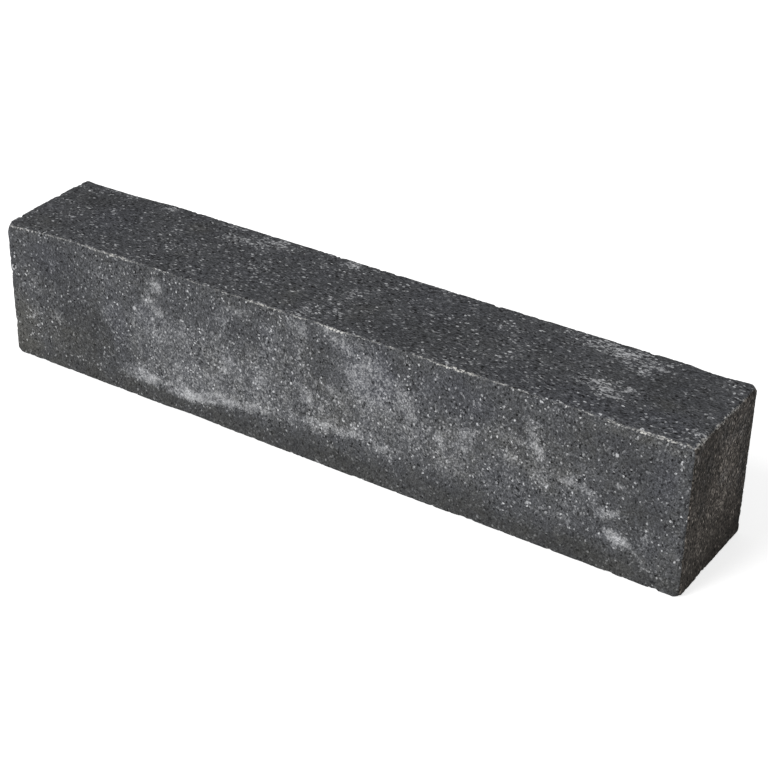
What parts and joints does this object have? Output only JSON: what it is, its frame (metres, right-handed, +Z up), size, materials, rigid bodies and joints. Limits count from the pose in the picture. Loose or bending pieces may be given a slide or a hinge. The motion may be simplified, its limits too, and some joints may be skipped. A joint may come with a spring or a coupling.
{
  "type": "concrete wall block",
  "caption": "Solid concrete wall block, a long rectangular bar with tumbled, chipped edges, laid dry or in mortar to build low garden walls and borders.",
  "frame": {"origin": "middle of the lower bed, on the surface that the block lies on", "axes": "+X along the length, towards the right end; +Y from the front face to the back face; +Z up, from the lower bed to the upper bed"},
  "size_m": [0.6, 0.1, 0.12],
  "materials": {
    "concrete": "rough, matt dark grey cast concrete with pale cement bloom and fine light grit"
  },
  "bodies": {
    "root": {"wall_block": "concrete"}
  },
  "joints": []
}
